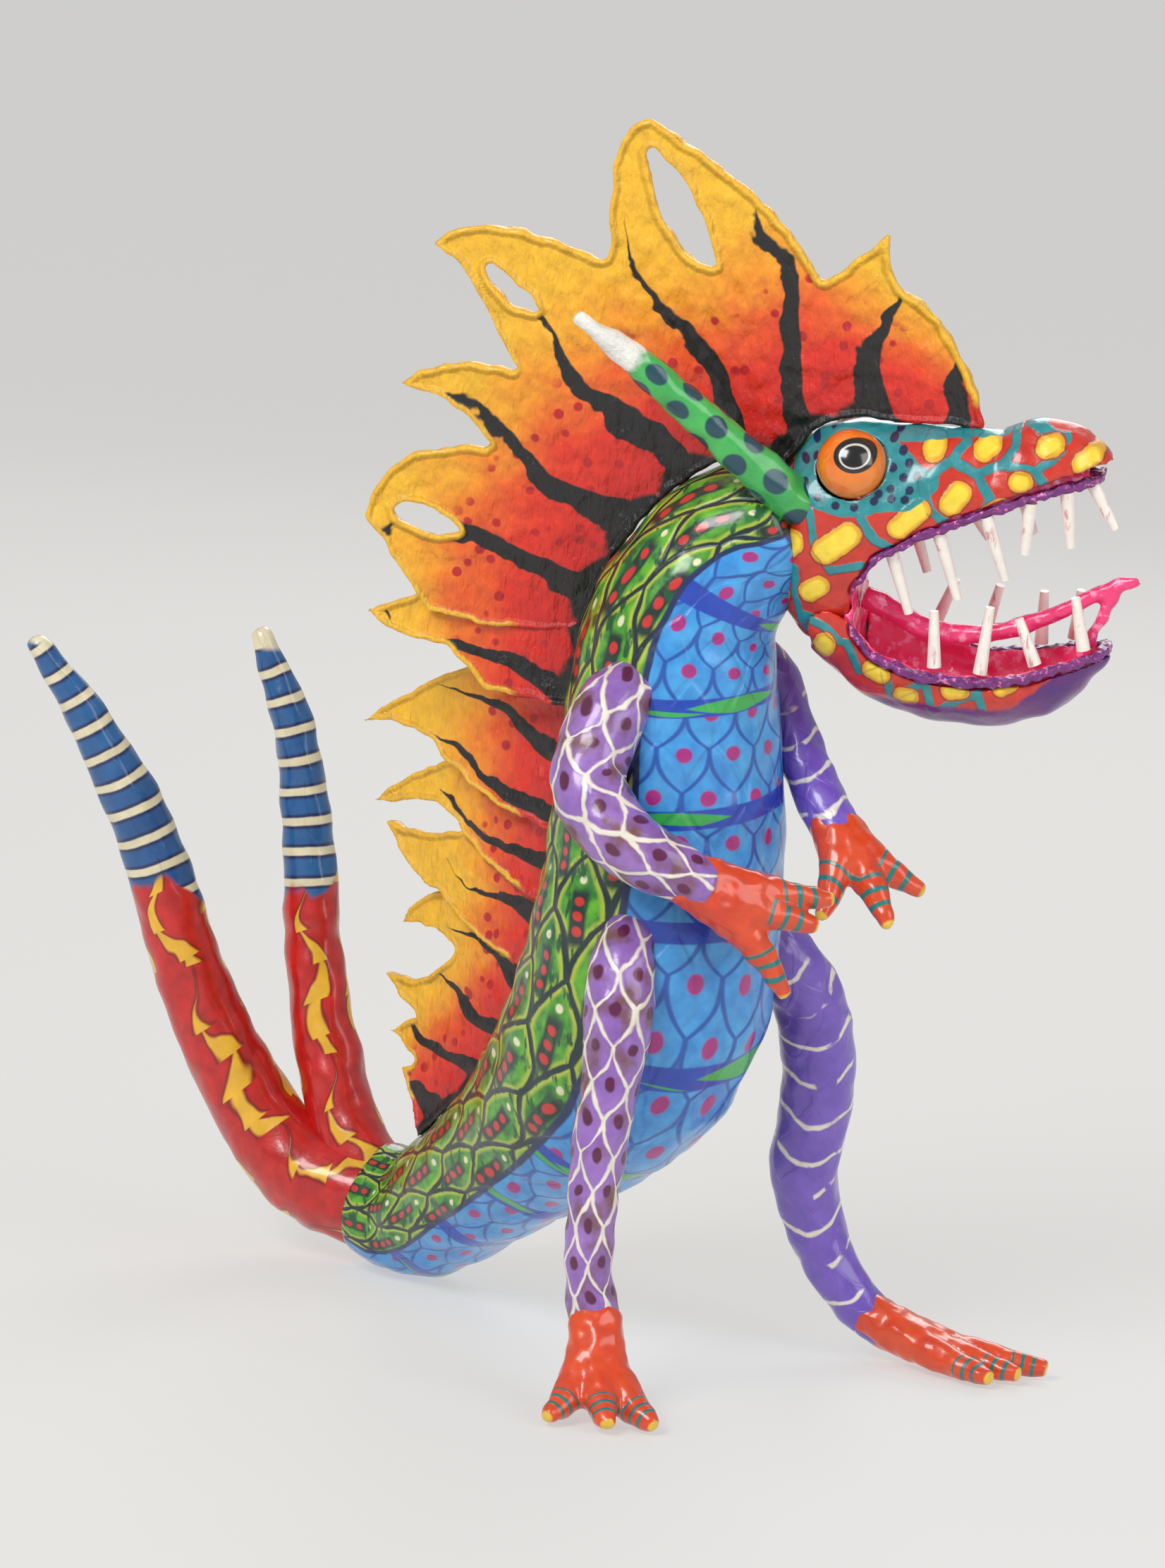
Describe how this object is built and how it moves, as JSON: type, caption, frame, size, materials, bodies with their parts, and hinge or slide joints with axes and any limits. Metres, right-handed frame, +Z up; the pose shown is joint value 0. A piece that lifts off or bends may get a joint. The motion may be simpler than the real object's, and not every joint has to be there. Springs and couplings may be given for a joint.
{
  "type": "papier-mache alebrije figure",
  "caption": "Horned, flame-crested papier-mache dragon figure, painted all over, that stands for display on its feet and the bend of its forked tail.",
  "frame": {"origin": "centre of the footprint of the whole figure, on the surface it stands on", "axes": "+Z up, +X the way the snout points, +Y to the figure's left at the head"},
  "size_m": [0.3028, 0.2016, 0.3375],
  "materials": {
    "body_paint": "acrylic paint under gloss varnish, green scales and blue belly",
    "tail_paint": "acrylic paint under gloss varnish, red with yellow flames, ringed blue tips",
    "limb_paint": "acrylic paint under gloss varnish, lilac with white scale lines",
    "hand_paint": "acrylic paint under gloss varnish, orange",
    "horn_paint": "acrylic paint under gloss varnish, green with rough white tips",
    "eye_paint": "gloss varnish, orange ball with black iris",
    "crest_paint": "acrylic paint, yellow to red with black veins",
    "head_paint": "acrylic paint under gloss varnish, red with yellow spots and teal bands",
    "lip_paint": "rough purple paper pulp, varnished",
    "mouth_paint": "hot pink acrylic paint, varnished",
    "tooth_wood": "whittled sticks, painted white",
    "newspaper": "rolled newspaper, unpainted",
    "wire": "soft annealed wire"
  },
  "bodies": {
    "root": {"arm_left_core": "newspaper", "arm_left_skin": "limb_paint", "arm_left_wire": "wire", "arm_right_core": "newspaper", "arm_right_skin": "limb_paint", "arm_right_wire": "wire", "back_crest": "crest_paint", "cranium": "head_paint", "eye_left": "eye_paint", "eye_right": "eye_paint", "foot_left": "hand_paint", "foot_right": "hand_paint", "hand_left": "hand_paint", "hand_right": "hand_paint", "head_crest": "crest_paint", "horn_left": "horn_paint", "horn_right": "horn_paint", "jaw_lining": "mouth_paint", "leg_left_core": "newspaper", "leg_left_skin": "limb_paint", "leg_left_wire": "wire", "leg_right_core": "newspaper", "leg_right_skin": "limb_paint", "leg_right_wire": "wire", "lower_jaw": "head_paint", "lower_lip": "lip_paint", "lower_tooth_left_1": "tooth_wood", "lower_tooth_left_2": "tooth_wood", "lower_tooth_left_3": "tooth_wood", "lower_tooth_left_4": "tooth_wood", "lower_tooth_right_1": "tooth_wood", "lower_tooth_right_2": "tooth_wood", "lower_tooth_right_3": "tooth_wood", "lower_tooth_right_4": "tooth_wood", "palate": "mouth_paint", "spine_wire": "wire", "tail_left_core": "newspaper", "tail_left_skin": "tail_paint", "tail_left_wire": "wire", "tail_right_core": "newspaper", "tail_right_skin": "tail_paint", "tail_right_wire": "wire", "throat": "mouth_paint", "tongue": "mouth_paint", "tongue_prong": "mouth_paint", "torso_core": "newspaper", "torso_skin": "body_paint", "upper_lip": "lip_paint", "upper_tooth_left_1": "tooth_wood", "upper_tooth_left_2": "tooth_wood", "upper_tooth_left_3": "tooth_wood", "upper_tooth_left_4": "tooth_wood", "upper_tooth_right_1": "tooth_wood", "upper_tooth_right_2": "tooth_wood", "upper_tooth_right_3": "tooth_wood", "upper_tooth_right_4": "tooth_wood", "upper_tooth_right_5": "tooth_wood", "upper_tooth_right_6": "tooth_wood"}
  },
  "joints": []
}
